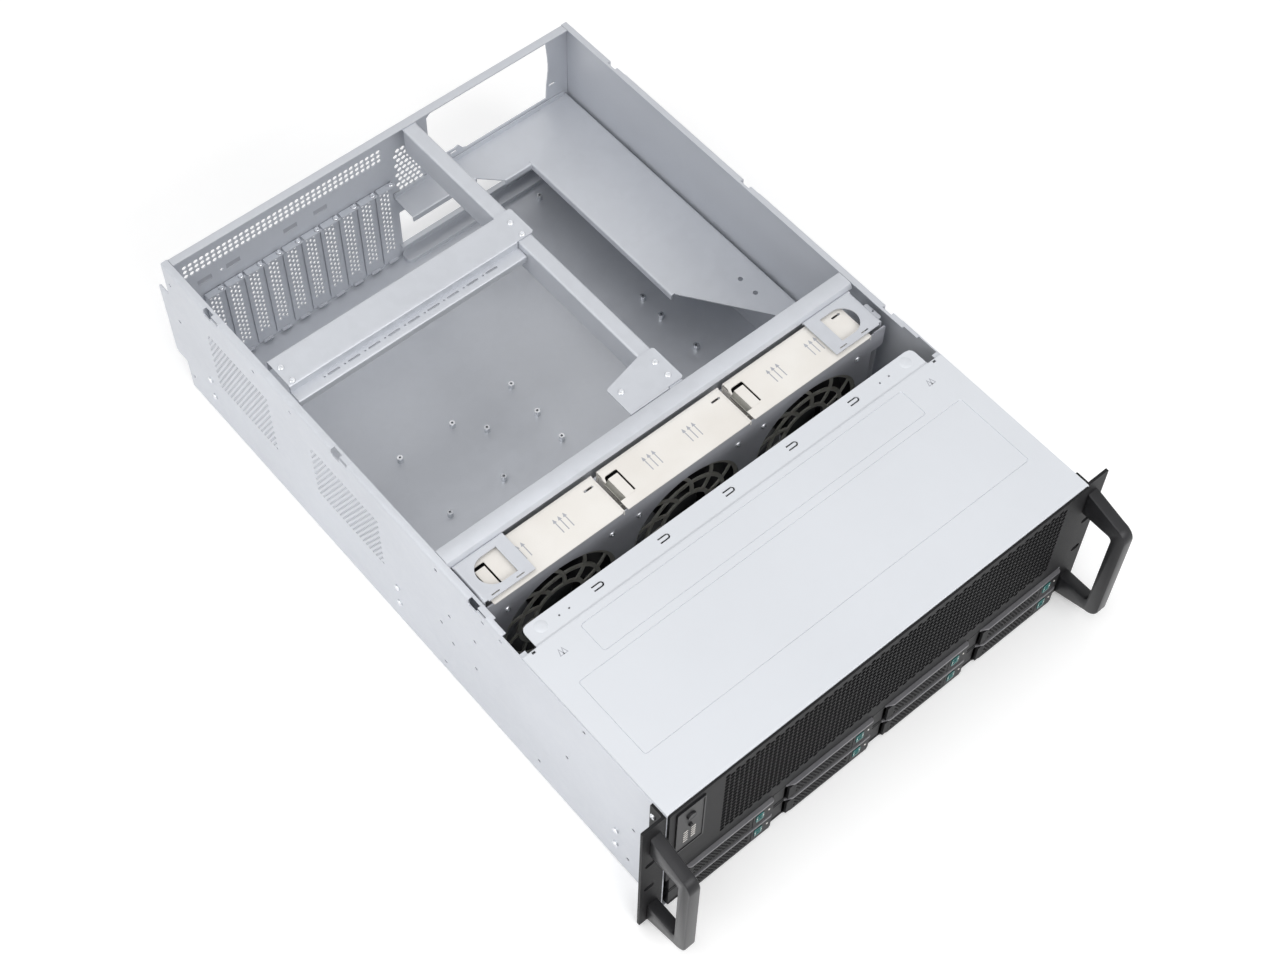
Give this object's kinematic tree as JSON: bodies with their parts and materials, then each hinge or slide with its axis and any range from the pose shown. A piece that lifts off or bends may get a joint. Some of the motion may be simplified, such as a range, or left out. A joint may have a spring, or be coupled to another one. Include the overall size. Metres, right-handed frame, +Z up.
{
  "type": "rackmount server case",
  "caption": "Open rackmount server case with front drive carriers, a fan row, a power supply shelf, slot covers, rack ears and pull handles.",
  "frame": {"origin": "centre of the tub's base, on its underside", "axes": "+X to the right seen from the front, +Y to the rear, +Z up"},
  "size_m": [0.4826, 0.709, 0.1775],
  "materials": {
    "zinc_steel": "zinc coated sheet, soft sheen",
    "grey_paint": "matt",
    "black_paint": "fine texture",
    "carrier_paint": "fine texture",
    "handle_finish": "anodised dark grey",
    "black_plastic": "satin",
    "cream_paint": "smooth",
    "guard_plastic": "satin",
    "fan_plastic": "satin",
    "teal_plastic": "gloss",
    "circuit_board": "satin",
    "bright_steel": "bright"
  },
  "bodies": {
    "case": {"chassis_tub": "zinc_steel", "rear_panel": "zinc_steel", "psu_deck": "zinc_steel", "slot_bridge": "zinc_steel", "spine_rail": "zinc_steel", "spine_bracket": "zinc_steel", "fan_wall_crossbar": "zinc_steel", "fan_front_plate": "grey_paint", "fan_end_cap_left": "zinc_steel", "fan_end_cap_right": "zinc_steel", "fan_guard_1": "guard_plastic", "fan_guard_2": "guard_plastic", "fan_guard_3": "guard_plastic", "fan_frame_1": "fan_plastic", "fan_frame_2": "fan_plastic", "fan_frame_3": "fan_plastic", "fan_top_plate_1": "cream_paint", "fan_top_plate_2": "cream_paint", "fan_top_plate_3": "cream_paint", "front_cover": "zinc_steel", "front_bezel": "black_paint", "drive_cage": "zinc_steel", "drive_backplane": "circuit_board", "control_panel": "black_plastic", "ear_left": "black_paint", "ear_right": "black_paint", "handle_left": "handle_finish", "handle_right": "handle_finish", "slot_covers": "zinc_steel", "screws": "bright_steel", "press_studs": "bright_steel"},
    "fan_spinner_1": {"fan_rotor_1": "fan_plastic"},
    "fan_spinner_2": {"fan_rotor_2": "fan_plastic"},
    "fan_spinner_3": {"fan_rotor_3": "fan_plastic"},
    "carrier_1": {"drive_tray_1": "carrier_paint"},
    "pull_lever_1": {"drive_lever_1": "black_paint"},
    "latch_1": {"drive_button_1": "teal_plastic"},
    "carrier_2": {"drive_tray_2": "carrier_paint"},
    "pull_lever_2": {"drive_lever_2": "black_paint"},
    "latch_2": {"drive_button_2": "teal_plastic"},
    "carrier_3": {"drive_tray_3": "carrier_paint"},
    "pull_lever_3": {"drive_lever_3": "black_paint"},
    "latch_3": {"drive_button_3": "teal_plastic"},
    "carrier_4": {"drive_tray_4": "carrier_paint"},
    "pull_lever_4": {"drive_lever_4": "black_paint"},
    "latch_4": {"drive_button_4": "teal_plastic"},
    "carrier_5": {"drive_tray_5": "carrier_paint"},
    "pull_lever_5": {"drive_lever_5": "black_paint"},
    "latch_5": {"drive_button_5": "teal_plastic"},
    "carrier_6": {"drive_tray_6": "carrier_paint"},
    "pull_lever_6": {"drive_lever_6": "black_paint"},
    "latch_6": {"drive_button_6": "teal_plastic"},
    "carrier_7": {"drive_tray_7": "carrier_paint"},
    "pull_lever_7": {"drive_lever_7": "black_paint"},
    "latch_7": {"drive_button_7": "teal_plastic"},
    "carrier_8": {"drive_tray_8": "carrier_paint"},
    "pull_lever_8": {"drive_lever_8": "black_paint"},
    "latch_8": {"drive_button_8": "teal_plastic"},
    "power_push": {"power_button": "black_plastic"},
    "reset_push": {"reset_button": "black_plastic"}
  },
  "joints": [
    {"name": "fan_spin_1", "type": "hinge", "parent": "case", "child": "fan_spinner_1", "pos_m": [-0.1385, -0.0818, 0.092], "axis": [0, 1, 0], "continuous": true},
    {"name": "fan_spin_2", "type": "hinge", "parent": "case", "child": "fan_spinner_2", "pos_m": [-0.0055, -0.0818, 0.092], "axis": [0, 1, 0], "continuous": true},
    {"name": "fan_spin_3", "type": "hinge", "parent": "case", "child": "fan_spinner_3", "pos_m": [0.1275, -0.0818, 0.092], "axis": [0, 1, 0], "continuous": true},
    {"name": "carrier_slide_1", "type": "slide", "parent": "case", "child": "carrier_1", "axis": [0, -1, 0], "range_m": [0, 0.16]},
    {"name": "lever_hinge_1", "type": "hinge", "parent": "carrier_1", "child": "pull_lever_1", "pos_m": [-0.1964, -0.3256, 0.0146], "axis": [0, 0, -1], "range_deg": [0, 60]},
    {"name": "latch_press_1", "type": "slide", "parent": "carrier_1", "child": "latch_1", "axis": [0, 1, 0], "range_m": [0, 0.002], "stiffness_N_per_m": 900},
    {"name": "carrier_slide_2", "type": "slide", "parent": "case", "child": "carrier_2", "axis": [0, -1, 0], "range_m": [0, 0.16]},
    {"name": "lever_hinge_2", "type": "hinge", "parent": "carrier_2", "child": "pull_lever_2", "pos_m": [-0.0892, -0.3256, 0.0146], "axis": [0, 0, -1], "range_deg": [0, 60]},
    {"name": "latch_press_2", "type": "slide", "parent": "carrier_2", "child": "latch_2", "axis": [0, 1, 0], "range_m": [0, 0.002], "stiffness_N_per_m": 900},
    {"name": "carrier_slide_3", "type": "slide", "parent": "case", "child": "carrier_3", "axis": [0, -1, 0], "range_m": [0, 0.16]},
    {"name": "lever_hinge_3", "type": "hinge", "parent": "carrier_3", "child": "pull_lever_3", "pos_m": [0.018, -0.3256, 0.0146], "axis": [0, 0, -1], "range_deg": [0, 60]},
    {"name": "latch_press_3", "type": "slide", "parent": "carrier_3", "child": "latch_3", "axis": [0, 1, 0], "range_m": [0, 0.002], "stiffness_N_per_m": 900},
    {"name": "carrier_slide_4", "type": "slide", "parent": "case", "child": "carrier_4", "axis": [0, -1, 0], "range_m": [0, 0.16]},
    {"name": "lever_hinge_4", "type": "hinge", "parent": "carrier_4", "child": "pull_lever_4", "pos_m": [0.1252, -0.3256, 0.0146], "axis": [0, 0, -1], "range_deg": [0, 60]},
    {"name": "latch_press_4", "type": "slide", "parent": "carrier_4", "child": "latch_4", "axis": [0, 1, 0], "range_m": [0, 0.002], "stiffness_N_per_m": 900},
    {"name": "carrier_slide_5", "type": "slide", "parent": "case", "child": "carrier_5", "axis": [0, -1, 0], "range_m": [0, 0.16]},
    {"name": "lever_hinge_5", "type": "hinge", "parent": "carrier_5", "child": "pull_lever_5", "pos_m": [-0.1964, -0.3256, 0.0418], "axis": [0, 0, -1], "range_deg": [0, 60]},
    {"name": "latch_press_5", "type": "slide", "parent": "carrier_5", "child": "latch_5", "axis": [0, 1, 0], "range_m": [0, 0.002], "stiffness_N_per_m": 900},
    {"name": "carrier_slide_6", "type": "slide", "parent": "case", "child": "carrier_6", "axis": [0, -1, 0], "range_m": [0, 0.16]},
    {"name": "lever_hinge_6", "type": "hinge", "parent": "carrier_6", "child": "pull_lever_6", "pos_m": [-0.0892, -0.3256, 0.0418], "axis": [0, 0, -1], "range_deg": [0, 60]},
    {"name": "latch_press_6", "type": "slide", "parent": "carrier_6", "child": "latch_6", "axis": [0, 1, 0], "range_m": [0, 0.002], "stiffness_N_per_m": 900},
    {"name": "carrier_slide_7", "type": "slide", "parent": "case", "child": "carrier_7", "axis": [0, -1, 0], "range_m": [0, 0.16]},
    {"name": "lever_hinge_7", "type": "hinge", "parent": "carrier_7", "child": "pull_lever_7", "pos_m": [0.018, -0.3256, 0.0418], "axis": [0, 0, -1], "range_deg": [0, 60]},
    {"name": "latch_press_7", "type": "slide", "parent": "carrier_7", "child": "latch_7", "axis": [0, 1, 0], "range_m": [0, 0.002], "stiffness_N_per_m": 900},
    {"name": "carrier_slide_8", "type": "slide", "parent": "case", "child": "carrier_8", "axis": [0, -1, 0], "range_m": [0, 0.16]},
    {"name": "lever_hinge_8", "type": "hinge", "parent": "carrier_8", "child": "pull_lever_8", "pos_m": [0.1252, -0.3256, 0.0418], "axis": [0, 0, -1], "range_deg": [0, 60]},
    {"name": "latch_press_8", "type": "slide", "parent": "carrier_8", "child": "latch_8", "axis": [0, 1, 0], "range_m": [0, 0.002], "stiffness_N_per_m": 900},
    {"name": "power_press", "type": "slide", "parent": "case", "child": "power_push", "axis": [0, 1, 0], "range_m": [0, 0.0015], "stiffness_N_per_m": 800},
    {"name": "reset_press", "type": "slide", "parent": "case", "child": "reset_push", "axis": [0, 1, 0], "range_m": [0, 0.0015], "stiffness_N_per_m": 800}
  ]
}
